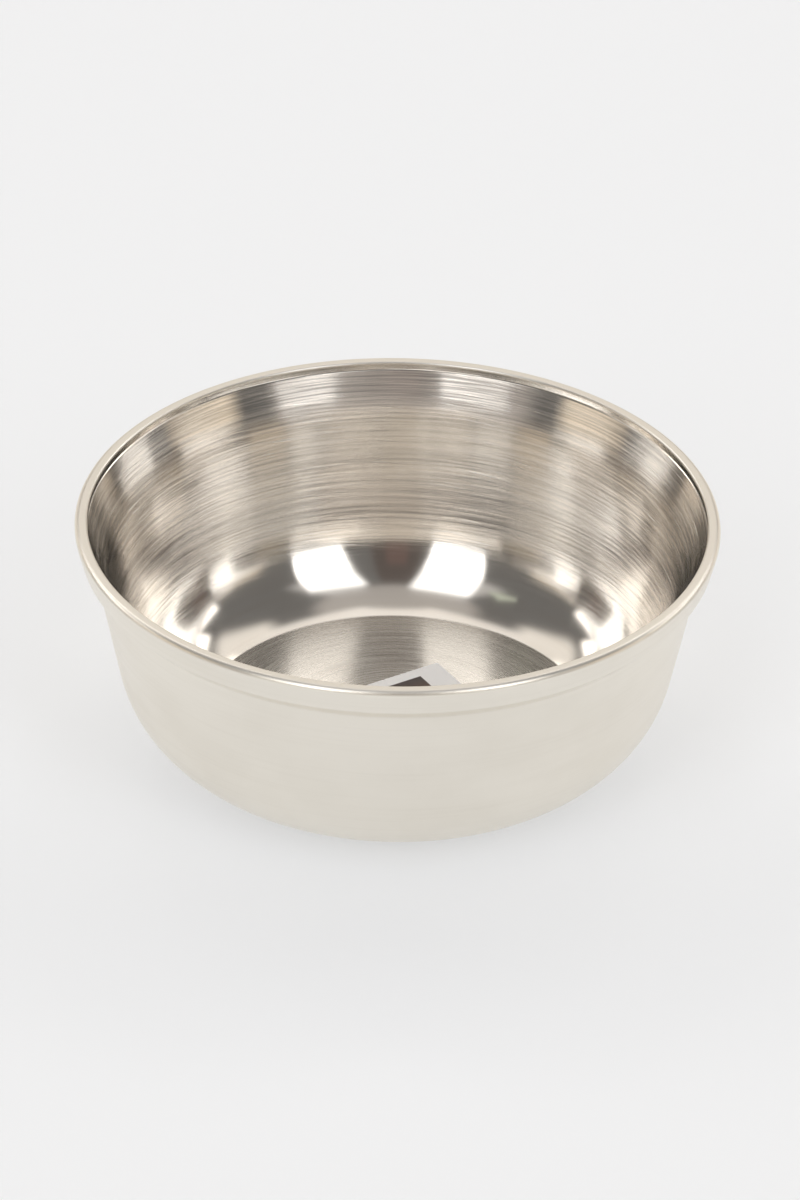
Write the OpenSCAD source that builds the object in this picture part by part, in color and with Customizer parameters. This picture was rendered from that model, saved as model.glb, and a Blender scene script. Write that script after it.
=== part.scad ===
// Double-wall stainless steel bowl. Two pressed sheet shells meet at the rim, where a weld closes the
// air space between them, and a small paper label lies on the bowl's floor.
// Millimetres, +Z up. The origin is on the table, on the bowl's axis.
//
// Each shell is one sheet of even thickness. Its skin is an outline of [radius, height] corners, each
// with its own bend radius, and the other face of the sheet follows that outline at the thickness.

/* [Bowl] */
// Diameter over the rim
bowl_d = 130; // [118:1:180]
// Height from the table to the top of the rim
bowl_h = 51.2; // [44:0.1:75]

/* [Sheets] */
// Thickness of the outer shell's sheet
outer_sheet = 0.5; // [0.4:0.05:0.8]
// Thickness of the inner shell's sheet
inner_sheet = 0.5; // [0.4:0.05:0.8]
// Air space between the two walls
wall_gap = 1; // [0.9:0.1:3]
// Air space between the two floors
floor_gap = 1; // [0.8:0.1:4]

/* [Lip] */
// Width of the flat ring on top of the rim, from its bore to the outside
ring_w = 2.85; // [2.4:0.05:5]
// Radius of the rim's outer edge
rim_round = 1.05; // [0.6:0.05:1.4]
// Height of the band below the rim
band_h = 5.6; // [4:0.1:9]
// How far the band draws in from the rim to its lower edge
band_in = 1.4; // [0.5:0.1:3]
// Radius of the band's lower edge
band_round = 1; // [0.5:0.1:2]
// How far the step below the band goes in
step_in = 2.6; // [1.5:0.1:4]
// Height of the step
step_h = 2.5; // [1.5:0.1:4]
// Radius in the hollow where the step meets the wall
step_round = 1.8; // [0.5:0.1:3]

/* [Wall and base] */
// How far the wall draws in from the step down to the lower corner
wall_in = 7.2; // [3:0.1:12]
// Width of the lower corner, from the wall's foot in to the foot ring
corner_w = 15.3; // [10:0.1:22]
// Height of the lower corner
corner_h = 7.1; // [4:0.1:12]
// Radius of the lower corner
corner_round = 23.6; // [18:0.1:26]
// Radius of the foot ring's outer edge
foot_round = 2; // [0.5:0.1:4]
// Width of the foot ring
foot_w = 4.5; // [2:0.1:10]
// Height of the hollow inside the foot ring
hollow_h = 0.6; // [0.3:0.1:2]
// Width of the slope from the foot ring up to the hollow
hollow_in = 0.8; // [0.4:0.1:3]
// Radius of the slope's two bends
hollow_round = 0.6; // [0.2:0.1:2]

/* [Inside] */
// Height of the upright land below the rim's bore
land_h = 1.1; // [0.8:0.1:2]
// Radius where the wall meets the land
land_round = 0.4; // [0.2:0.1:1]
// Width of the inner shell's flange under the rim's ring
flange_w = 1.4; // [1:0.1:1.6]
// Radius of the bend from the land to the flange, which the weld fills
bend_round = 0.5; // [0.3:0.05:0.7]
// Radius of the shoulder where the wall opens to the rim
shoulder_round = 30; // [10:1:40]
// How far the shoulder lies below the step on the outside
shoulder_drop = 1.5; // [0:0.1:3]
// Radius of the inner corner
inner_round = 22.4; // [18:0.1:22.4]
// How much lower the inner corner sits than one that runs even with the outer corner
corner_drop = 1.5; // [0:0.1:1.6]
// How far the flat floor goes out past the foot ring
floor_lap = 1.1; // [0:0.1:2]
// Radius of the crease round the flat floor
floor_round = 1.2; // [0.5:0.1:3]

/* [Paper label] */
// Length of the label
label_l = 38; // [20:1:48]
// Width of the label
label_w = 28; // [15:1:36]
// Thickness of the paper and its glue
label_t = 0.1; // [0.05:0.01:0.3]
// How far the label is turned on the floor
label_turn = 32; // [0:1:180]

/* [Hidden] */
$fn = 180;
// The largest turn of one straight piece of an arc
arc_step = 4;

// The rim's round edge takes a little off the corner where the ring and the leaning band would meet
band_lean = atan(band_in / band_h);
rim_r = bowl_d / 2 + rim_round * (tan(band_lean) + 1 / cos(band_lean) - 1);
bore_r = rim_r - ring_w;
seam_z = bowl_h - outer_sheet;
land_z = seam_z - land_h;

// The outer shell's corners, from the rim down to the base
band_edge = [rim_r - band_in, bowl_h - band_h];
step_foot = band_edge - [step_in, step_h];
wall_foot = [step_foot[0] - wall_in, corner_h];
foot_r = wall_foot[0] - corner_w;
foot_edge = [foot_r, 0];
foot_inner_r = foot_r - foot_w;

// The inner shell's skin stands off the outer shell's skin by both sheets and the air between them
stand_off = outer_sheet + wall_gap + inner_sheet;
floor_z = hollow_h + outer_sheet + floor_gap + inner_sheet;
floor_r = foot_r + floor_lap;
wall_lean = atan(wall_in / (step_foot[1] - corner_h));
shoulder = step_foot - [stand_off / cos(wall_lean), 0] - shoulder_drop * [tan(wall_lean), 1];
even_corner = wall_foot + mitre(way(step_foot, wall_foot), way(wall_foot, foot_edge), stand_off);
inner_corner = even_corner - corner_drop * [tan(wall_lean), 1];

// [corner, bend radius] from the rim's bore over the rim, down the outside and in to the axis
outer_outline = [
    [[bore_r, bowl_h], 0],
    [[rim_r, bowl_h], rim_round],
    [band_edge, band_round],
    [step_foot, step_round],
    [wall_foot, corner_round],
    [foot_edge, foot_round],
    [[foot_inner_r, 0], hollow_round],
    [[foot_inner_r - hollow_in, hollow_h], hollow_round],
    [[0, hollow_h], 0]
];

// [corner, bend radius] from the axis over the floor, up the inside and out along the flange
inner_outline = [
    [[0, floor_z], 0],
    [[floor_r, floor_z], floor_round],
    [inner_corner, inner_round],
    [shoulder, shoulder_round],
    [[bore_r, land_z], land_round],
    [[bore_r, seam_z], bend_round],
    [[bore_r + flange_w, seam_z], 0]
];

// The way from point a to point b, as a unit vector
function way(a, b) = (b - a) / norm(b - a);

// The unit vector at right angles to the way w, on its right-hand side
function beside(w) = [w[1], -w[0]];

// The turn between the ways v and w, positive to the right
function turn(v, w) = atan2(v[1] * w[0] - v[0] * w[1], v * w);

// The shift of a corner between the ways v and w whose sides both move t to the right
function mitre(v, w, t) = t * (beside(v) + beside(w)) / (1 + v * w);

// The ways along the sides of the outline o, and the sides' lengths
function ways(o) = [for (i = [1 : len(o) - 1]) way(o[i - 1][0], o[i][0])];
function sides(o) = [for (i = [1 : len(o) - 1]) norm(o[i][0] - o[i - 1][0])];

// The turn at each corner of an outline with n corners and the ways w
function turns(w, n) = [for (i = [0 : n - 1]) i == 0 || i == n - 1 ? 0 : turn(w[i - 1], w[i])];

// How much of each side the bend at corner i takes
function takes(o, a) = [for (i = [0 : len(o) - 1]) o[i][1] * tan(abs(a[i]) / 2)];

// The share of its radius that the bend at corner i has room for on the sides s
function room(s, k, i) =
    min(1, s[i - 1] / max(s[i - 1], k[i - 1] + k[i]), s[i] / max(s[i], k[i] + k[i + 1]));

// The arc of radius r that turns by the angle a from the way w and starts at point p
function arc(p, w, a, r) =
    let (n = max(1, ceil(abs(a) / arc_step)), side = sign(a) * beside(w))
    [for (j = [0 : n]) let (b = abs(a) * j / n) p + r * (sin(b) * w + (1 - cos(b)) * side)];

// One face of the sheet on the outline o: its skin where t is zero, or the face t to the right of it
function face(o, t) =
    let (
        n = len(o),
        w = ways(o),
        s = sides(o),
        a = turns(w, n),
        k = takes(o, a)
    )
    [
        o[0][0] + t * beside(w[0]),
        for (i = [1 : n - 2])
            let (
                p = o[i][0] + mitre(w[i - 1], w[i], t),
                r = max(0, o[i][1] * room(s, k, i) - sign(a[i]) * t),
                start = p - r * tan(abs(a[i]) / 2) * w[i - 1]
            )
            each (r > 0 ? arc(start, w[i - 1], a[i], r) : [p]),
        o[n - 1][0] + t * beside(w[n - 2])
    ];

function reversed(p) = [for (i = [len(p) - 1 : -1 : 0]) p[i]];

// A sheet of thickness t pressed to the outline o and spun round the axis
module pressed_sheet(o, t) {
    rotate_extrude() polygon(concat(face(o, 0), reversed(face(o, t))));
}

// The outside skin: the flat ring and lip band, the leaning wall, the round corner and the foot ring
module outer_shell() {
    color([0.86, 0.84, 0.8]) pressed_sheet(outer_outline, outer_sheet);
}

// The food side: flat floor, round corner, wall, shoulder, upright land and the flange under the ring
module inner_shell() {
    color([0.78, 0.76, 0.73]) pressed_sheet(inner_outline, inner_sheet);
}

// The weld that fills the groove between the rim's ring and the inner shell's bend, ground flush with
// the bore
module rim_weld() {
    bend = arc([bore_r, seam_z - bend_round], [0, 1], 90, bend_round);
    color([0.7, 0.68, 0.65]) rotate_extrude() polygon(concat([[bore_r, seam_z]], reversed(bend)));
}

// The paper label, flat on the floor and turned a little
module paper_label() {
    color([0.97, 0.97, 0.96])
        translate([0, 0, floor_z + label_t / 2])
            rotate(label_turn) cube([label_l, label_w, label_t], center = true);
}

outer_shell();
inner_shell();
rim_weld();
paper_label();
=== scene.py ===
"""Looks of a small double-wall stainless steel bowl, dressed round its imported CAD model.

Everything is in metres, +Z up, in the CAD model's frame: the bowl stands on the table at z = 0 with its
axis on the origin, and the viewer looks along +Y.
"""

import logging
import math
from dataclasses import dataclass
from enum import Enum
from itertools import dropwhile
from typing import Any, ClassVar

import bmesh
import bpy
from mathutils import Matrix, Vector


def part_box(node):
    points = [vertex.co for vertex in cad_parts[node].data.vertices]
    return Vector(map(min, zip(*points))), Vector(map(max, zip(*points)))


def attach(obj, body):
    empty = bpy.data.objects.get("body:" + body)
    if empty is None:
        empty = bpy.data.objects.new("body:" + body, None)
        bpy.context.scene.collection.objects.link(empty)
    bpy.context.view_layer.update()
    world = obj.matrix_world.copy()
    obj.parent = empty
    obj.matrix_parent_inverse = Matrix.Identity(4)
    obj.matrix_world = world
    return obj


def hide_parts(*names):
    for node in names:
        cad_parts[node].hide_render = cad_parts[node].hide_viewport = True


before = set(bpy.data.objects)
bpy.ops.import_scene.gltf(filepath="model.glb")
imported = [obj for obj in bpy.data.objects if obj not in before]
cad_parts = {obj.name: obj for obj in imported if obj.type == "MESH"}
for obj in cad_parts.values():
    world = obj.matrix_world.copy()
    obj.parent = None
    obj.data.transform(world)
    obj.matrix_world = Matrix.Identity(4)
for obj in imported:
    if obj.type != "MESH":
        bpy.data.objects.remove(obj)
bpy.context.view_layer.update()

MM = 0.001
AXIS = Vector((0.0, 0.0, 1.0))
OUTLINE_UP = Vector((0.0, 1.0))
QUARTER_TURN = math.pi / 2
# A sector of 8 steps that is doubled 5 times goes all the way round in 256 steps
SECTOR_STEPS = 8
SECTOR_DOUBLINGS = 5
MERGE_DISTANCE = 0.0005 * MM
# Edges that turn by more than this stay sharp
SHARP_TURN = math.radians(28)
# The turn of a shader's brushing that lays it in rings round the axis
BRUSHED_ROUND = 0.25
RECORD_BODY = "root"

log = logging.getLogger("bowl")

Colour = tuple[float, float, float, float]
Span = tuple[float, float]


class Graph:
    """The node tree of one material or of the world, filled by plain calls."""

    def __init__(self, tree: bpy.types.NodeTree) -> None:
        """Takes the tree and empties it.

        Args:
            tree: The node tree of a material or a world.
        """
        self.tree = tree
        tree.nodes.clear()

    def add(
        self,
        kind: str,
        settings: dict[str, Any] | None = None,
        inputs: dict[str | int, Any] | None = None,
    ) -> bpy.types.Node:
        """Adds one node.

        Args:
            kind: The node's type.
            settings: The node's own settings, set first.
            inputs: A value, socket or Term for each input, by name or number.

        Returns:
            The new node.
        """
        node = self.tree.nodes.new(kind)
        for key, value in (settings or {}).items():
            setattr(node, key, value)
        for key, value in (inputs or {}).items():
            self.feed(node.inputs[key], value)
        return node

    def feed(self, socket: bpy.types.NodeSocket, value: Any) -> None:
        """Links a socket or Term to an input, or sets the input's value.

        Args:
            socket: The input.
            value: What it gets.
        """
        if isinstance(value, Term):
            value = value.socket
        if isinstance(value, bpy.types.NodeSocket):
            self.tree.links.new(value, socket)
        else:
            socket.default_value = value

    def term(self, socket: bpy.types.NodeSocket) -> "Term":
        """Wraps a number socket so that Python's operators work on it."""
        return Term(self, socket)

    def position(self) -> bpy.types.NodeSocket:
        """Gives the point on the piece, in object coordinates."""
        return self.add("ShaderNodeTexCoord").outputs["Object"]

    def split(self, vector: bpy.types.NodeSocket) -> tuple["Term", "Term", "Term"]:
        """Gives the X, Y and Z of a vector."""
        parts = self.add("ShaderNodeSeparateXYZ", inputs={0: vector}).outputs
        return self.term(parts[0]), self.term(parts[1]), self.term(parts[2])

    def join(self, x: Any, y: Any, z: Any) -> bpy.types.NodeSocket:
        """Makes a vector from three numbers or Terms."""
        return self.add("ShaderNodeCombineXYZ", inputs={0: x, 1: y, 2: z}).outputs[0]

    def blend(self, share: Any, a: Any, b: Any) -> bpy.types.NodeSocket:
        """Makes a colour that goes from a to b as share goes from 0 to 1."""
        settings = {"data_type": "RGBA", "clamp_factor": True}
        return self.add("ShaderNodeMix", settings, {0: share, 6: a, 7: b}).outputs[2]

    def bump(self, height: "Term", depth: float, strength: float = 1.0) -> bpy.types.NodeSocket:
        """Makes the normal of a surface whose relief is a height from 0 to 1 times a depth in metres."""
        inputs = {"Strength": strength, "Distance": depth, "Height": height}
        return self.add("ShaderNodeBump", inputs=inputs).outputs[0]

    def surface(self, inputs: dict[str | int, Any]) -> None:
        """Ends a material's graph with the general shader on the given inputs."""
        shader = self.add("ShaderNodeBsdfPrincipled", inputs=inputs)
        self.add("ShaderNodeOutputMaterial", inputs={0: shader.outputs[0]})


class Term:
    """A number in a shader. Python's operators on it add Math nodes."""

    def __init__(self, graph: Graph, socket: bpy.types.NodeSocket) -> None:
        """Wraps a socket of a graph.

        Args:
            graph: The graph that the socket is in.
            socket: The output that gives the number.
        """
        self.graph = graph
        self.socket = socket

    def maths(self, operation: str, *others: Any) -> "Term":
        """Adds one Math node with this number first.

        Args:
            operation: What the node does.
            others: The numbers or Terms that come after this one.

        Returns:
            The node's result.
        """
        inputs = {0: self, **{n + 1: other for n, other in enumerate(others)}}
        node = self.graph.add("ShaderNodeMath", {"operation": operation}, inputs)
        return Term(self.graph, node.outputs[0])

    def reflected(self, operation: str, first: float) -> "Term":
        """Adds one Math node with a plain number before this one.

        Args:
            operation: What the node does.
            first: The plain number.

        Returns:
            The node's result.
        """
        inputs = {0: first, 1: self}
        node = self.graph.add("ShaderNodeMath", {"operation": operation}, inputs)
        return Term(self.graph, node.outputs[0])

    def __add__(self, other: Any) -> "Term":
        """This number plus another."""
        return self.maths("ADD", other)

    def __radd__(self, other: float) -> "Term":
        """A plain number plus this one."""
        return self.maths("ADD", other)

    def __sub__(self, other: Any) -> "Term":
        """This number less another."""
        return self.maths("SUBTRACT", other)

    def __rsub__(self, other: float) -> "Term":
        """A plain number less this one."""
        return self.reflected("SUBTRACT", other)

    def __mul__(self, other: Any) -> "Term":
        """This number times another."""
        return self.maths("MULTIPLY", other)

    def __rmul__(self, other: float) -> "Term":
        """A plain number times this one."""
        return self.maths("MULTIPLY", other)

    def __truediv__(self, other: Any) -> "Term":
        """This number over another."""
        return self.maths("DIVIDE", other)

    def __pow__(self, other: Any) -> "Term":
        """This number to a power."""
        return self.maths("POWER", other)

    def __neg__(self) -> "Term":
        """This number with its sign turned."""
        return self.maths("MULTIPLY", -1.0)

    def __abs__(self) -> "Term":
        """This number without its sign."""
        return self.maths("ABSOLUTE")

    def rise(self, low: float, high: float) -> "Term":
        """Gives a smooth step, 0 at or below low and 1 at or above high.

        Args:
            low: Where the step starts.
            high: Where it ends. It may lie below low, which turns the step round.

        Returns:
            The step as a number from 0 to 1.
        """
        turned = high < low
        first, last = (high, low) if turned else (low, high)
        settings = {"interpolation_type": "SMOOTHSTEP", "clamp": True}
        inputs = {"Value": self, "From Min": first, "From Max": last}
        node = self.graph.add("ShaderNodeMapRange", settings, inputs)
        step = Term(self.graph, node.outputs[0])
        return 1.0 - step if turned else step


@dataclass(frozen=True)
class Grain:
    """One layer of noise on a surface, by its spots to the metre and its finer layers."""

    around: float
    along: float
    detail: float
    rough: float

    def at(self, x: Term, y: Term, along: Term) -> Term:
        """Gives the noise at a point.

        Args:
            x: The point's X.
            y: The point's Y.
            along: How far along the sheet it is, or its height.

        Returns:
            The noise, from 0 to 1 and near 0.5 on the whole.
        """
        graph = x.graph
        place = graph.join(x * self.around, y * self.around, along * self.along)
        inputs = {"Vector": place, "Scale": 1.0, "Detail": self.detail, "Roughness": self.rough}
        return graph.term(graph.add("ShaderNodeTexNoise", inputs=inputs).outputs[0])


@dataclass(frozen=True)
class Ramp:
    """A smooth step between two values of a number, with the most that it gives."""

    start: float
    end: float
    most: float

    def of(self, number: Term) -> Term:
        """Gives 0 at the start and the most at the end."""
        return number.rise(self.start, self.end) * self.most


@dataclass(frozen=True)
class Bend:
    """One corner of a sheet's outline, with the radius that the sheet is bent to there."""

    radius: float
    height: float
    bend: float = 0.0

    @property
    def point(self) -> Vector:
        """Gives the sharp corner as a point of the outline."""
        return Vector((self.radius, self.height))


class Outline:
    """A sheet's skin as corners with bends. It gives either face of the sheet as a line of points.

    No piece of an arc turns by more than ARC_STEP, and no piece of a straight stretch is longer than
    LONGEST. GUARD is how far from a straight stretch's ends its first and last extra points lie.
    """

    ARC_STEP = math.radians(3)
    GUARD = 0.1 * MM
    LONGEST = 6.0 * MM

    def __init__(self, bends: list[Bend]) -> None:
        """Works out the ways along the outline and the turns between them.

        Args:
            bends: The corners from one end of the sheet to the other.
        """
        self.bends = bends
        points = [bend.point for bend in bends]
        self.ways = [(b - a).normalized() for a, b in zip(points, points[1:])]

    @staticmethod
    def beside(way: Vector) -> Vector:
        """Gives the unit vector at right angles to a way, on its right-hand side."""
        return Vector((way.y, -way.x))

    @staticmethod
    def arc(start: Vector, way: Vector, turn: float, radius: float) -> list[Vector]:
        """Gives a round stretch that starts along a way.

        Args:
            start: The arc's first point.
            way: The way along the outline there.
            turn: How far the arc turns, positive to the right.
            radius: The arc's radius.

        Returns:
            The arc's points, the first and the last among them.
        """
        pieces = max(1, math.ceil(abs(turn) / Outline.ARC_STEP))
        side = math.copysign(1.0, turn) * Outline.beside(way)
        angles = [abs(turn) * n / pieces for n in range(pieces + 1)]
        return [start + radius * (math.sin(a) * way + (1 - math.cos(a)) * side) for a in angles]

    def face(self, offset: float = 0.0) -> list[Vector]:
        """Gives one face of the sheet.

        Args:
            offset: Distance to the right of the skin, so the sheet's thickness for its other face.

        Returns:
            The face's points, with the bends as arcs and long straight pieces divided.
        """
        points = [self.bends[0].point + offset * self.beside(self.ways[0])]
        last = self.bends[-1].point + offset * self.beside(self.ways[-1])
        for bend, way_in, way_out in zip(self.bends[1:], self.ways, self.ways[1:]):
            turn = math.atan2(way_in.y * way_out.x - way_in.x * way_out.y, way_in.dot(way_out))
            shift = self.beside(way_in) + self.beside(way_out)
            corner = bend.point + shift * (offset / (1 + way_in.dot(way_out)))
            radius = max(0.0, bend.bend - math.copysign(offset, turn))
            if bend.bend > 0 and radius > 0:
                start = corner - radius * math.tan(abs(turn) / 2) * way_in
                points += self.between(points[-1], start)
                points += self.arc(start, way_in, turn, radius)
            else:
                points += self.between(points[-1], corner)
                points.append(corner)
        return points + self.between(points[-1], last) + [last]

    @classmethod
    def between(cls, a: Vector, b: Vector) -> list[Vector]:
        """Gives extra points inside one straight stretch.

        Those close to its ends keep the stretch flat under smooth shading.

        Args:
            a: The stretch's start.
            b: Its end.

        Returns:
            The points between the two, or none on a short stretch.
        """
        length = (b - a).length
        if length <= 4 * cls.GUARD:
            return []
        way = (b - a) / length
        first, last = a + cls.GUARD * way, b - cls.GUARD * way
        pieces = max(1, math.ceil((last - first).length / cls.LONGEST))
        return [first.lerp(last, n / pieces) for n in range(pieces + 1)]


def spun(name: str, points: list[Vector], closed: bool) -> bpy.types.Object:
    """Spins a line of points round the bowl's axis, as one sector that is then doubled until it closes.

    Args:
        name: The piece's name.
        points: The line, as radius and height.
        closed: Whether the last point joins the first. An open line ends on the axis at both ends.

    Returns:
        The piece, smooth but for its sharp edges.
    """
    mesh = bmesh.new()
    line = [mesh.verts.new((p.x, 0.0, p.y)) for p in points]
    pairs = list(zip(line, line[1:] + line[:1])) if closed else list(zip(line, line[1:]))
    edges = [mesh.edges.new(pair) for pair in pairs]
    sector = math.tau / 2**SECTOR_DOUBLINGS
    bmesh.ops.spin(
        mesh,
        geom=line + edges,
        cent=(0, 0, 0),
        axis=AXIS,
        dvec=(0, 0, 0),
        angle=sector,
        space=Matrix.Identity(4),
        steps=SECTOR_STEPS,
        use_merge=False,
        use_normal_flip=False,
        use_duplicate=False,
    )
    for n in range(SECTOR_DOUBLINGS):
        copy = bmesh.ops.duplicate(mesh, geom=mesh.verts[:] + mesh.edges[:] + mesh.faces[:])
        verts = [e for e in copy["geom"] if isinstance(e, bmesh.types.BMVert)]
        turn = Matrix.Rotation(sector * 2**n, 3, "Z")
        bmesh.ops.rotate(mesh, cent=(0, 0, 0), matrix=turn, verts=verts)
    bmesh.ops.remove_doubles(mesh, verts=mesh.verts, dist=MERGE_DISTANCE)
    bmesh.ops.recalc_face_normals(mesh, faces=mesh.faces)
    return finished(name, mesh)


def finished(name: str, mesh: bmesh.types.BMesh) -> bpy.types.Object:
    """Turns a bmesh into a piece of the scene.

    Args:
        name: The piece's name.
        mesh: The shape, in place.

    Returns:
        The piece, at the origin and unturned, smooth but for its sharp edges.
    """
    data = bpy.data.meshes.new(name)
    mesh.to_mesh(data)
    mesh.free()
    data.shade_smooth()
    data.set_sharp_from_angle(angle=SHARP_TURN)
    piece = bpy.data.objects.new(name, data)
    bpy.context.scene.collection.objects.link(piece)
    return piece


class Finish:
    """A finish as a material. Each kind of finish has a name and lays its own nodes."""

    NAME: ClassVar[str]

    def material(self) -> bpy.types.Material:
        """Builds the material.

        Returns:
            The new material, with the finish's nodes in it.
        """
        material = bpy.data.materials.new(self.NAME)
        material.use_nodes = True
        self.lay(Graph(material.node_tree))
        return material

    def lay(self, graph: Graph) -> None:
        """Adds the finish's nodes to an empty graph."""
        raise NotImplementedError


@dataclass(frozen=True)
class SatinSteel(Finish):
    """The matt finish of the bowl's outside and of the ring on its rim."""

    NAME: ClassVar[str] = "satin_steel"

    rim_height: float
    colour: Colour = (0.87, 0.83, 0.75, 1.0)
    dull_colour: Colour = (0.82, 0.78, 0.70, 1.0)
    ring_colour: Colour = (0.70, 0.685, 0.66, 1.0)
    ring_from: float = 0.5 * MM
    ring_to: float = 0.1 * MM
    grain: Grain = Grain(60.0, 9000.0, 3.0, 0.6)
    streak: Grain = Grain(25.0, 900.0, 3.0, 0.55)
    cloud: Grain = Grain(45.0, 60.0, 3.0, 0.5)
    cloud_tone: Ramp = Ramp(0.35, 0.75, 0.6)
    streak_tone: Ramp = Ramp(0.45, 0.8, 0.3)
    roughness: float = 0.36
    cloud_roughness: float = 0.16
    streak_roughness: float = 0.12
    relief_depth: float = 0.004 * MM
    grain_relief: float = 0.6
    streak_relief: float = 1.6
    brushing: float = 0.3

    def lay(self, graph: Graph) -> None:
        """Adds faint level brushing, a soft cloudy tone and small changes of gloss.

        Args:
            graph: The material's graph.
        """
        x, y, z = graph.split(graph.position())
        along = (x * x + y * y) ** 0.5 + z
        grain = self.grain.at(x, y, along)
        streak = self.streak.at(x, y, along)
        cloud = self.cloud.at(x, y, z)
        tone = self.cloud_tone.of(cloud) + self.streak_tone.of(streak)
        colour = graph.blend(tone, self.colour, self.dull_colour)
        ring = z.rise(self.rim_height - self.ring_from, self.rim_height - self.ring_to)
        rough = self.roughness + (cloud - 0.5) * self.cloud_roughness
        relief = grain * self.grain_relief + streak * self.streak_relief
        graph.surface(
            {
                "Base Color": graph.blend(ring, colour, self.ring_colour),
                "Metallic": 1.0,
                "Roughness": rough + (streak - 0.5) * self.streak_roughness,
                "Anisotropic": self.brushing,
                "Anisotropic Rotation": BRUSHED_ROUND,
                "Normal": graph.bump(relief, self.relief_depth),
            }
        )


@dataclass(frozen=True)
class ChatterMarks:
    """The two short rows of small dents that a turning tool left on the far wall."""

    height: float = 21.2 * MM
    radius: float = 54.6 * MM
    pitch: float = 1.1 * MM
    depth: float = 0.03 * MM
    spans: tuple[Span, ...] = ((-27.0 * MM, -18.0 * MM), (11.0 * MM, 30.0 * MM))
    fade: float = 1.0 * MM
    row_edge: Span = (0.45 * MM, 0.25 * MM)
    dent_edge: Span = (-0.2, 0.8)

    def dents(self, x: Term, y: Term, z: Term) -> Term:
        """Gives the dents' shape.

        Args:
            x: The point's X.
            y: The point's Y.
            z: The point's height.

        Returns:
            The rows of small dents, from 0 to 1.
        """
        around = x.maths("ARCTAN2", y) * (math.tau * self.radius / self.pitch)
        dents = around.maths("SINE").rise(*self.dent_edge)
        row = abs(z - self.height).rise(*self.row_edge) * y.rise(0.0, self.fade)
        spans = [
            x.rise(start - self.fade, start + self.fade) * x.rise(end + self.fade, end - self.fade)
            for start, end in self.spans
        ]
        return dents * row * sum(spans[1:], start=spans[0])


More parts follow.
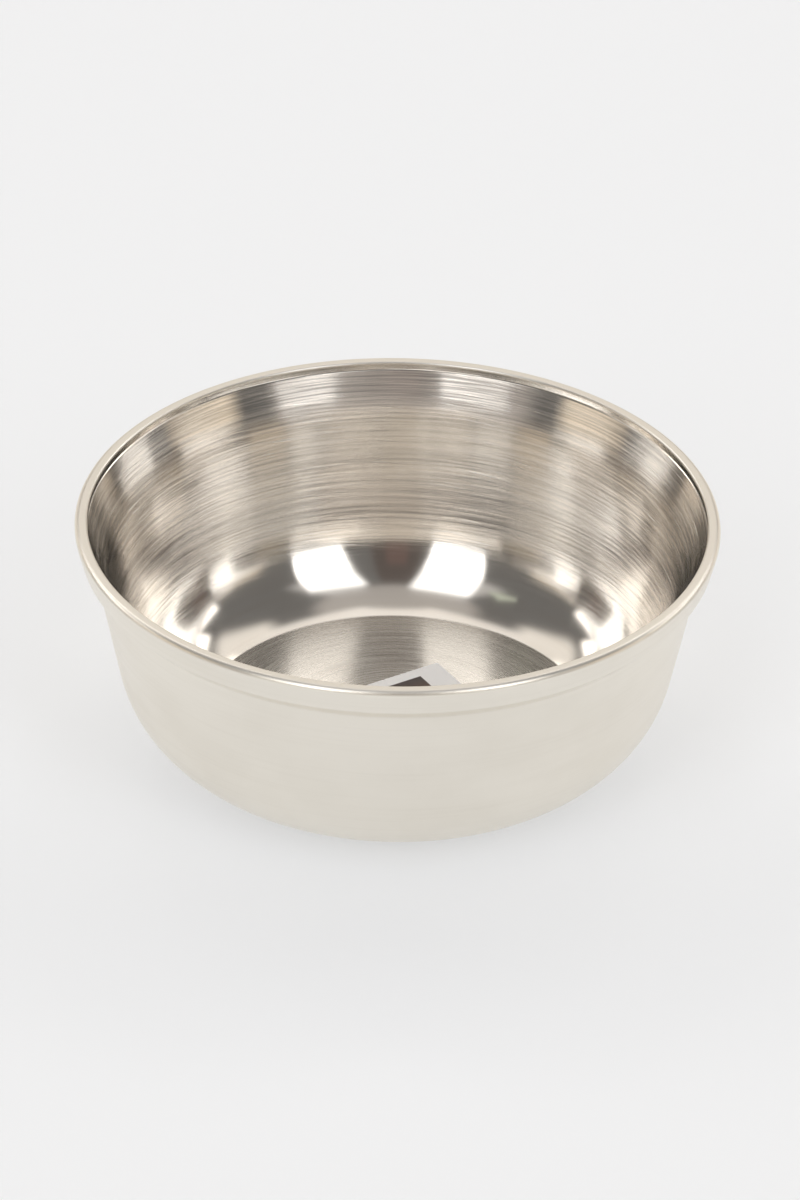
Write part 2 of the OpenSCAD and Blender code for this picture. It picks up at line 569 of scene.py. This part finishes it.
@dataclass(frozen=True)
class TurnedSteel(Finish):
    """The inside's finish: lathe-brushed floor and wall with a polished corner between them."""

    NAME: ClassVar[str] = "brushed_steel"

    floor_radius: float
    polish_foot: float
    polish_top: float
    land_height: float
    zone_waver: Grain = Grain(40.0, 40.0, 2.0, 0.5)
    zone_waver_height: float = 3.0 * MM
    disc_edge: Span = (0.5 * MM, -0.3 * MM)
    land_edge: float = 0.3 * MM
    fine: Grain = Grain(45.0, 2100.0, 1.0, 0.6)
    streak: Grain = Grain(22.0, 950.0, 1.0, 0.6)
    scratch: Grain = Grain(60.0, 1900.0, 1.0, 0.4)
    scratch_tilt_x: float = 0.09
    scratch_tilt_y: float = 0.04
    scratch_edge: Span = (0.60, 0.72)
    cloud: Grain = Grain(30.0, 45.0, 3.0, 0.5)
    ripple: Grain = Grain(60.0, 22.0, 1.0, 0.5)
    chatter: ChatterMarks = ChatterMarks()
    wall_roughness: float = 0.17
    floor_roughness: float = 0.26
    polish_roughness: float = 0.11
    polish_unevenness: float = 0.02
    groove_unevenness: float = 0.16
    scratch_roughness: float = 0.08
    groove_depth: float = 0.028 * MM
    ripple_depth: float = 0.5 * MM
    polish_grooves: float = 0.01
    disc_grooves: float = 0.2
    scratch_relief: float = 0.35
    calm_span: Span = (40.0 * MM, 44.0 * MM)
    calm: float = 0.45
    colour: Colour = (0.88, 0.855, 0.82, 1.0)
    warm_colour: Colour = (0.84, 0.80, 0.75, 1.0)
    disc_colour: Colour = (0.76, 0.735, 0.695, 1.0)
    line_colour: Colour = (0.40, 0.385, 0.365, 1.0)
    cloud_tone: Ramp = Ramp(0.35, 0.75, 0.7)
    streak_tone: Ramp = Ramp(0.4, 0.8, 0.3)
    fine_line: Ramp = Ramp(0.60, 0.36, 0.65)
    streak_line: Ramp = Ramp(0.62, 0.34, 0.35)
    disc_lines: float = 0.5
    line_strength: float = 0.55
    brushing: float = 0.93

    def lay(self, graph: Graph) -> None:
        """Adds rings of grooves whose depth, gloss and colour change with the zone.

        Args:
            graph: The material's graph.
        """
        x, y, z = graph.split(graph.position())
        across = (x * x + y * y) ** 0.5
        along = across + z
        brushed, disc = self.zones(x, y, z, across)
        fine = self.fine.at(x, y, along)
        streak = self.streak.at(x, y, along)
        tilted = along + x * self.scratch_tilt_x + y * self.scratch_tilt_y
        scratch = self.scratch.at(x, y, tilted).rise(*self.scratch_edge)
        rough = self.polish_roughness + brushed * (self.wall_roughness - self.polish_roughness)
        rough = rough + disc * (self.floor_roughness - self.polish_roughness)
        uneven = self.polish_unevenness + self.groove_unevenness * (brushed + disc)
        rough = rough + (fine - 0.5) * uneven
        depth = self.polish_grooves + (1.0 - self.polish_grooves) * brushed * self.calming(z)
        depth = depth + disc * self.disc_grooves
        relief = (fine + streak + scratch * self.scratch_relief) * depth
        ripple = self.ripple.at(x, y, z)
        relief = relief + ripple * brushed * (self.ripple_depth / self.groove_depth)
        dents = self.chatter.dents(x, y, z)
        relief = relief + dents * (self.chatter.depth / self.groove_depth)
        tone = self.cloud_tone.of(self.cloud.at(x, y, z)) + self.streak_tone.of(streak)
        colour = graph.blend(tone, self.colour, self.warm_colour)
        colour = graph.blend(disc, colour, self.disc_colour)
        line = self.fine_line.of(fine) + self.streak_line.of(streak)
        line = line * (brushed + disc * self.disc_lines) * self.line_strength
        graph.surface(
            {
                "Base Color": graph.blend(line, colour, self.line_colour),
                "Metallic": 1.0,
                "Roughness": rough + scratch * brushed * self.scratch_roughness,
                "Anisotropic": self.brushing,
                "Anisotropic Rotation": BRUSHED_ROUND,
                "Normal": graph.bump(relief, self.groove_depth),
            }
        )

    def zones(self, x: Term, y: Term, z: Term, across: Term) -> tuple[Term, Term]:
        """Parts the inside into its brushed wall, its brushed disc and the polished rest.

        Args:
            x: The point's X.
            y: The point's Y.
            z: The point's height.
            across: Its distance from the axis.

        Returns:
            Where the wall is brushed and where the disc is, each from 0 to 1.
        """
        waver = self.zone_waver.at(x, y, z) - 0.5
        level = z + waver * self.zone_waver_height
        wall = level.rise(self.polish_foot, self.polish_top)
        disc = across.rise(*(self.floor_radius + edge for edge in self.disc_edge))
        land = z.rise(self.land_height - self.land_edge, self.land_height)
        return wall * (1.0 - land), disc

    def calming(self, z: Term) -> Term:
        """Gives the grooves' share of their depth at a height, less on the shoulder than below it."""
        return 1.0 - self.calm * z.rise(*self.calm_span)


@dataclass(frozen=True)
class PolishedWeld(Finish):
    """The weld's finish: ground flush with the bore and polished with it."""

    NAME: ClassVar[str] = "polished_weld"

    colour: Colour = (0.78, 0.75, 0.70, 1.0)
    spots: Grain = Grain(900.0, 900.0, 3.0, 0.6)
    spot_depth: float = 0.002 * MM
    roughness: float = 0.14
    spot_roughness: float = 0.2

    def lay(self, graph: Graph) -> None:
        """Adds small changes of gloss and of level round the seam.

        Args:
            graph: The material's graph.
        """
        spots = self.spots.at(*graph.split(graph.position()))
        graph.surface(
            {
                "Base Color": self.colour,
                "Metallic": 1.0,
                "Roughness": self.roughness + (spots - 0.5) * self.spot_roughness,
                "Normal": graph.bump(spots, self.spot_depth),
            }
        )


@dataclass(frozen=True)
class LabelPaper(Finish):
    """Coated white paper with a plain dark panel, on the label's own turned coordinates."""

    NAME: ClassVar[str] = "label_paper"

    turn: float
    panel_length: float
    panel_width: float
    white: Colour = (0.99, 0.99, 1.0, 1.0)
    dark: Colour = (0.075, 0.060, 0.058, 1.0)
    brown: Colour = (0.16, 0.10, 0.065, 1.0)
    brown_width: float = 7.0 * MM
    ink_edge: float = 0.08 * MM
    fibre: Grain = Grain(2500.0, 2500.0, 4.0, 0.6)
    fibre_depth: float = 0.01 * MM
    fibre_strength: float = 0.6
    roughness: float = 0.42
    fibre_roughness: float = 0.2

    def lay(self, graph: Graph) -> None:
        """Adds the paper's fibres and the panel, whose tone goes from dark to brown.

        Args:
            graph: The material's graph.
        """
        settings = {"vector_type": "TEXTURE"}
        turned = {"Vector": graph.position(), "Rotation": (0.0, 0.0, self.turn)}
        u, v, z = graph.split(graph.add("ShaderNodeMapping", settings, turned).outputs[0])
        half_length, half_width = self.panel_length / 2, self.panel_width / 2
        panel = abs(u).rise(half_length + self.ink_edge, half_length - self.ink_edge)
        panel = panel * abs(v).rise(half_width + self.ink_edge, half_width - self.ink_edge)
        tone = v.rise(half_width, half_width - self.brown_width)
        ink = graph.blend(tone, self.dark, self.brown)
        fibre = self.fibre.at(u, v, z)
        graph.surface(
            {
                "Base Color": graph.blend(panel, self.white, ink),
                "Roughness": self.roughness + fibre * self.fibre_roughness,
                "Normal": graph.bump(fibre, self.fibre_depth, self.fibre_strength),
            }
        )


@dataclass(frozen=True)
class FloorPaper(Finish):
    """The studio floor's finish, which shows as the page's pale grey and keeps the bowl's shadow."""

    NAME: ClassVar[str] = "floor_paper"

    colour: Colour = (0.50, 0.52, 0.555, 1.0)
    glow: float = 0.42

    def lay(self, graph: Graph) -> None:
        """Adds a matt paper and an even glow on top of it.

        Args:
            graph: The material's graph.
        """
        paper = graph.add("ShaderNodeBsdfDiffuse", inputs={"Color": self.colour}).outputs[0]
        glow = graph.add("ShaderNodeEmission", inputs={"Strength": self.glow}).outputs[0]
        both = graph.add("ShaderNodeAddShader", inputs={0: paper, 1: glow})
        graph.add("ShaderNodeOutputMaterial", inputs={0: both.outputs[0]})


class Node(Enum):
    """The CAD nodes that the pieces stand for, with the record's slot of each."""

    OUTER_SHELL = ("outer_shell", "satin_steel")
    INNER_SHELL = ("inner_shell", "brushed_steel")
    RIM_WELD = ("rim_weld", "polished_weld")
    PAPER_LABEL = ("paper_label", "label_paper")

    def dress(self, piece: bpy.types.Object, finish: Finish) -> None:
        """Gives a piece its finish and its place on the body, and hides the CAD node that it stands for.

        Args:
            piece: The piece, with no material yet.
            finish: Its finish.
        """
        node, slot = self.value
        piece.data.materials.append(finish.material())
        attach(piece, RECORD_BODY)
        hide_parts(node)
        log.info("%s: %d faces, for %s", piece.name, len(piece.data.polygons), node)


@dataclass
class Bowl:
    """The bowl's two pressed shells and the weld between them, on the CAD model's height and width."""

    rim_radius: float
    height: float
    outer_sheet: float = 0.5 * MM
    inner_sheet: float = 0.5 * MM
    wall_gap: float = 1.0 * MM
    floor_gap: float = 1.0 * MM
    ring_width: float = 2.85 * MM
    edge_round: float = 0.4 * MM
    rim_round: float = 1.05 * MM
    band_height: float = 5.6 * MM
    band_in: float = 1.4 * MM
    band_round: float = 1.0 * MM
    step_in: float = 2.6 * MM
    step_height: float = 2.5 * MM
    step_round: float = 1.8 * MM
    wall_in: float = 7.2 * MM
    corner_width: float = 15.3 * MM
    corner_height: float = 7.1 * MM
    corner_round: float = 23.6 * MM
    foot_round: float = 2.0 * MM
    foot_width: float = 4.5 * MM
    hollow_height: float = 0.6 * MM
    hollow_in: float = 0.8 * MM
    hollow_round: float = 0.6 * MM
    land_height: float = 1.1 * MM
    land_round: float = 0.4 * MM
    flange_width: float = 1.4 * MM
    bend_round: float = 0.5 * MM
    shoulder_round: float = 30.0 * MM
    shoulder_drop: float = 1.5 * MM
    inner_round: float = 22.4 * MM
    corner_drop: float = 1.5 * MM
    floor_lap: float = 1.1 * MM
    floor_round: float = 1.2 * MM
    polish_below: float = 0.5 * MM
    polish_above: float = 13.5 * MM

    def __post_init__(self) -> None:
        """Works out the corners of both shells from the sizes."""
        lean = math.atan2(self.band_in, self.band_height)
        rim = self.rim_radius + self.rim_round * (math.tan(lean) + 1 / math.cos(lean) - 1)
        self.bore = rim - self.ring_width
        self.seam = self.height - self.outer_sheet
        self.land = self.seam - self.land_height
        band = Vector((rim - self.band_in, self.height - self.band_height))
        step = band - Vector((self.step_in, self.step_height))
        foot = Vector((step.x - self.wall_in, self.corner_height))
        foot_radius = foot.x - self.corner_width
        hollow = foot_radius - self.foot_width
        self.floor_height = self.hollow_height + self.outer_sheet + self.floor_gap + self.inner_sheet
        self.floor_radius = foot_radius + self.floor_lap
        stand_off = self.outer_sheet + self.wall_gap + self.inner_sheet
        wall_lean = math.atan2(self.wall_in, step.y - foot.y)
        down = (foot - step).normalized()
        inward = (Vector((foot_radius, 0.0)) - foot).normalized()
        shift = (Outline.beside(down) + Outline.beside(inward)) * (stand_off / (1 + down.dot(inward)))
        corner = foot + shift - self.corner_drop * Vector((math.tan(wall_lean), 1.0))
        shoulder = step - Vector((stand_off / math.cos(wall_lean), 0.0))
        shoulder -= self.shoulder_drop * Vector((math.tan(wall_lean), 1.0))
        self.polish_foot = corner.y - self.polish_below
        self.polish_top = corner.y + self.polish_above
        self.outer = Outline(
            [
                Bend(self.bore, self.height),
                Bend(rim, self.height, self.rim_round),
                Bend(band.x, band.y, self.band_round),
                Bend(step.x, step.y, self.step_round),
                Bend(foot.x, foot.y, self.corner_round),
                Bend(foot_radius, 0.0, self.foot_round),
                Bend(hollow, 0.0, self.hollow_round),
                Bend(hollow - self.hollow_in, self.hollow_height, self.hollow_round),
                Bend(0.0, self.hollow_height),
            ]
        )
        self.inner = Outline(
            [
                Bend(0.0, self.floor_height),
                Bend(self.floor_radius, self.floor_height, self.floor_round),
                Bend(corner.x, corner.y, self.inner_round),
                Bend(shoulder.x, shoulder.y, self.shoulder_round),
                Bend(self.bore, self.land, self.land_round),
                Bend(self.bore, self.seam, self.bend_round),
                Bend(self.bore + self.flange_width, self.seam),
            ]
        )

    def build(self) -> None:
        """Builds and dresses the two shells and the weld."""
        self.outer_shell()
        self.inner_shell()
        self.rim_weld()

    def outer_shell(self) -> None:
        """Builds the outside skin with the ring, the lip band, the wall, the corner and the foot ring."""
        skin, back = self.outer.face(), self.outer.face(self.outer_sheet)
        edge = Vector((self.bore, self.height - self.edge_round))
        rounded = Outline.arc(edge, OUTLINE_UP, QUARTER_TURN, self.edge_round)
        ring = list(dropwhile(lambda point: point.x <= self.bore + self.edge_round, skin))
        piece = spun("outer_shell_satin", back[::-1] + rounded + ring, False)
        Node.OUTER_SHELL.dress(piece, SatinSteel(self.height))

    def inner_shell(self) -> None:
        """Builds the food side, from the floor disc up to the flange under the ring."""
        skin, back = self.inner.face(), self.inner.face(self.inner_sheet)
        piece = spun("inner_shell_brushed", skin + back[::-1], False)
        finish = TurnedSteel(self.floor_radius, self.polish_foot, self.polish_top, self.land)
        Node.INNER_SHELL.dress(piece, finish)

    def rim_weld(self) -> None:
        """Builds the bead that fills the groove between the ring and the inner shell's bend."""
        start = Vector((self.bore, self.seam - self.bend_round))
        bend = Outline.arc(start, OUTLINE_UP, QUARTER_TURN, self.bend_round)
        line = [Vector((self.bore, self.seam))] + bend[::-1]
        piece = spun("rim_weld_bead", line, True)
        Node.RIM_WELD.dress(piece, PolishedWeld())


@dataclass
class PaperLabel:
    """The label on the bowl's floor."""

    floor_height: float
    length: float = 38.0 * MM
    width: float = 28.0 * MM
    thickness: float = 0.1 * MM
    turn: float = math.radians(32)
    corner_round: float = 0.3 * MM
    corner_steps: int = 4
    end_margin: float = 5.8 * MM
    side_margin: float = 2.7 * MM

    def build(self) -> None:
        """Builds the paper as a thin plate with eased corners and dresses it."""
        mesh = bmesh.new()
        place = Matrix.Translation((0, 0, self.floor_height + self.thickness / 2))
        place @= Matrix.Rotation(self.turn, 4, "Z")
        place @= Matrix.Diagonal((self.length, self.width, self.thickness, 1.0))
        bmesh.ops.create_cube(mesh, size=1.0, matrix=place)
        half = self.thickness / 2
        upright = [e for e in mesh.edges if abs(e.verts[0].co.z - e.verts[1].co.z) > half]
        bmesh.ops.bevel(
            mesh,
            geom=upright,
            offset=self.corner_round,
            offset_type="OFFSET",
            affect="EDGES",
            segments=self.corner_steps,
            profile=0.5,
            material=-1,
        )
        piece = finished("paper_label_sheet", mesh)
        panel_length = self.length - 2 * self.end_margin
        panel_width = self.width - 2 * self.side_margin
        Node.PAPER_LABEL.dress(piece, LabelPaper(self.turn, panel_length, panel_width))


@dataclass(frozen=True)
class SoftBox:
    """A white panel of light. Its straight edges lie on a ceiling one unit up.

    Each edge is (a, b, c), and the panel lies where a times right plus b times near plus c is positive.
    Right runs to the viewer's right and near runs toward the viewer.
    """

    edges: tuple[tuple[float, float, float], ...]
    soft: float = 0.035

    def mask(self, right: Term, near: Term) -> Term:
        """Gives where the panel is.

        Args:
            right: How far right a direction meets the ceiling.
            near: How near to the viewer it meets the ceiling.

        Returns:
            The mask, from 0 to 1 and soft along the edges.
        """
        inside = [(right * a + near * b + c).rise(-self.soft, self.soft) for a, b, c in self.edges]
        return math.prod(inside[1:], start=inside[0])


@dataclass(frozen=True)
class Glow:
    """A soft patch of the room, the same on both sides. Angles are in degrees from the viewer."""

    turn_from: float
    turn_to: float
    lift_from: float
    lift_to: float
    light: Colour
    turn_soft: float = 5.0
    lift_soft: float = 3.0

    def mask(self, turn: Term, lift: Term) -> Term:
        """Gives where the patch is.

        Args:
            turn: How far a direction is turned away from the viewer's.
            lift: How high it is above level.

        Returns:
            The mask, from 0 to 1 and soft along the edges.
        """
        wide = turn.rise(self.turn_from - self.turn_soft, self.turn_from + self.turn_soft)
        wide = wide * turn.rise(self.turn_to + self.turn_soft, self.turn_to - self.turn_soft)
        high = lift.rise(self.lift_from - self.lift_soft, self.lift_from + self.lift_soft)
        return wide * high * lift.rise(self.lift_to + self.lift_soft, self.lift_to - self.lift_soft)


@dataclass
class Studio:
    """The pale floor and the light round it: two tall white panels by the viewer in a soft room.

    The panels stand to the left and the right of the viewer, and the card is a dimmer sheet on the left.
    """

    floor_half: float = 6.0
    page_colour: Colour = (0.855, 0.855, 0.855, 1.0)
    room_light: Colour = (0.165, 0.158, 0.15, 1.0)
    panel_light: Colour = (3.1, 3.05, 2.98, 1.0)
    panel_top_light: Colour = (1.9, 1.88, 1.84, 1.0)
    panel_top_lift: Span = (44.0, 54.0)
    panel_foot_lift: Span = (18.5, 24.5)
    least_height: float = 0.02
    panels: tuple[SoftBox, ...] = (
        SoftBox(
            (
                (-1.0, -0.29, 0.02),
                (1.0, 0.70, 0.25),
                (-0.45, 1.0, -0.32),
            )
        ),
        SoftBox(
            (
                (1.0, -0.475, 0.008),
                (-1.0, 0.88, 0.29),
                (0.35, 1.0, -0.40),
            )
        ),
    )
    glows: tuple[Glow, ...] = (
        # Overhead and high up, at the sides and behind the bowl
        Glow(-9.0, 189.0, 71.0, 99.0, (0.44, 0.41, 0.38, 1.0)),
        Glow(30.0, 66.0, 50.0, 72.0, (0.56, 0.54, 0.52, 1.0), 6.0, 4.0),
        Glow(118.0, 189.0, 42.0, 60.0, (0.95, 0.89, 0.81, 1.0), 8.0, 3.0),
        Glow(135.0, 189.0, 57.0, 80.0, (1.02, 0.96, 0.89, 1.0), 7.0, 2.0),
        # Low behind the bowl and at its sides
        Glow(128.0, 189.0, -60.0, 17.0, (0.98, 0.85, 0.68, 1.0), 8.0, 3.0),
        Glow(64.0, 92.0, 9.0, 24.0, (1.35, 1.14, 0.88, 1.0)),
        # A bright strip that climbs from each side to the back, and the softer light between the two
        Glow(95.0, 118.0, 19.0, 30.0, (3.10, 2.95, 2.75, 1.0), 3.0, 2.0),
        Glow(116.0, 147.0, 26.0, 37.0, (3.40, 3.20, 2.95, 1.0), 3.0, 2.0),
        Glow(146.0, 170.0, 36.0, 47.0, (3.40, 3.20, 2.90, 1.0), 3.0, 2.0),
        Glow(170.0, 189.0, 17.0, 45.0, (1.00, 0.92, 0.80, 1.0), 3.0, 3.0),
        # Low by the viewer, and the dark gap between the panels
        Glow(-9.0, 48.0, -60.0, 18.0, (0.54, 0.49, 0.45, 1.0), 4.0, 2.0),
        Glow(-9.0, 12.0, 21.0, 68.0, (0.12, 0.10, 0.09, 1.0), 3.0),
        Glow(-9.0, 5.0, 20.0, 46.0, (0.17, 0.12, 0.105, 1.0), 2.0),
    )
    card: SoftBox = SoftBox(
        (
            (0.0, 1.0, -0.15),
            (0.60, -1.0, 0.68),
            (1.0, 0.45, 0.69),
            (-1.0, 0.0, -0.57),
        ),
        0.01,
    )
    card_light: Colour = (0.62, 0.66, 0.54, 1.0)

    def build(self) -> None:
        """Builds the floor and the light."""
        self.floor()
        self.light()

    def floor(self) -> None:
        """Builds the floor that the bowl stands on."""
        mesh = bmesh.new()
        bmesh.ops.create_grid(mesh, x_segments=2, y_segments=2, size=self.floor_half)
        floor = finished("studio_floor", mesh)
        floor.data.materials.append(FloorPaper().material())
        log.info("studio_floor: stage")

    def light(self) -> None:
        """Makes the world: the studio's light, with the page's grey in its place for the camera."""
        world = bpy.data.worlds.new("studio")
        world.use_nodes = True
        bpy.context.scene.world = world
        graph = Graph(world.node_tree)
        ray = graph.add("ShaderNodeLightPath").outputs["Is Camera Ray"]
        colour = graph.blend(ray, self.room(graph), self.page_colour)
        background = graph.add("ShaderNodeBackground", inputs={0: colour})
        graph.add("ShaderNodeOutputWorld", inputs={0: background.outputs[0]})
        bpy.context.scene.view_settings.view_transform = "Standard"

    def room(self, graph: Graph) -> bpy.types.NodeSocket:
        """Lays the room's light, its soft patches first, then the white panels and the card.

        Args:
            graph: The world's graph.

        Returns:
            The light that comes from each direction.
        """
        x, y, z = graph.split(graph.add("ShaderNodeTexCoord").outputs["Generated"])
        turn = abs(x.maths("ARCTAN2", -y)) * math.degrees(1)
        lift = z.maths("ARCSINE") * math.degrees(1)
        seen = self.room_light
        for glow in self.glows:
            seen = graph.blend(glow.mask(turn, lift), seen, glow.light)
        height = z.maths("MAXIMUM", self.least_height)
        right, near = x / height, -y / height
        white = graph.blend(lift.rise(*self.panel_top_lift), self.panel_light, self.panel_top_light)
        up = lift.rise(*self.panel_foot_lift)
        for panel in self.panels:
            seen = graph.blend(panel.mask(right, near) * up, seen, white)
        return graph.blend(self.card.mask(right, near), seen, self.card_light)


@dataclass
class PhotoCamera:
    """The camera at the photograph's angle. Pixels are those of the 800 by 1200 frame."""

    rim_radius: float
    rim_height: float
    frame_width: int = 800
    frame_height: int = 1200
    rim_centre_x: float = 397.8
    rim_centre_y: float = 517.46
    rim_radius_px: float = 324.5
    distance_in_radii: float = 20.0
    elevation: float = math.radians(31.33)
    roll: float = math.radians(0.93)
    sensor: float = 36.0
    clip: Span = (0.05, 50.0)

    def build(self) -> None:
        """Places the camera so that the rim's centre falls where the photograph has it."""
        distance = self.distance_in_radii * self.rim_radius
        focal_px = self.rim_radius_px * self.distance_in_radii
        back = Vector((0.0, -math.cos(self.elevation), math.sin(self.elevation)))
        right = Vector((1.0, 0.0, 0.0))
        up = back.cross(right)
        rim = Vector((0.0, 0.0, self.rim_height))
        off_x = self.frame_width / 2 - self.rim_centre_x
        off_y = self.frame_height / 2 - self.rim_centre_y
        cos, sin = math.cos(self.roll), math.sin(self.roll)
        px, py = cos * off_x + sin * off_y, -sin * off_x + cos * off_y
        pixel = self.rim_radius / self.rim_radius_px
        aim = rim + right * (px * pixel) - up * (py * pixel)
        data = bpy.data.cameras.new("photo_camera")
        data.sensor_width = self.sensor
        data.lens = focal_px * self.sensor / max(self.frame_width, self.frame_height)
        data.clip_start, data.clip_end = self.clip
        camera = bpy.data.objects.new("photo_camera", data)
        camera.location = rim + back * distance
        look = (aim - camera.location).to_track_quat("-Z", "Y")
        camera.rotation_mode = "QUATERNION"
        camera.rotation_quaternion = look @ Matrix.Rotation(self.roll, 3, "Z").to_quaternion()
        bpy.context.scene.collection.objects.link(camera)
        bpy.context.scene.camera = camera


def main() -> None:
    """Builds the bowl, its label, the studio and the camera."""
    logging.basicConfig(level=logging.INFO, format="%(message)s", force=True)
    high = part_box(Node.OUTER_SHELL.value[0])[1]
    bowl = Bowl(rim_radius=high.x, height=high.z)
    bowl.build()
    PaperLabel(floor_height=bowl.floor_height).build()
    Studio().build()
    PhotoCamera(rim_radius=bowl.bore + bowl.ring_width, rim_height=bowl.height).build()


if __name__ == "__main__":
    main()
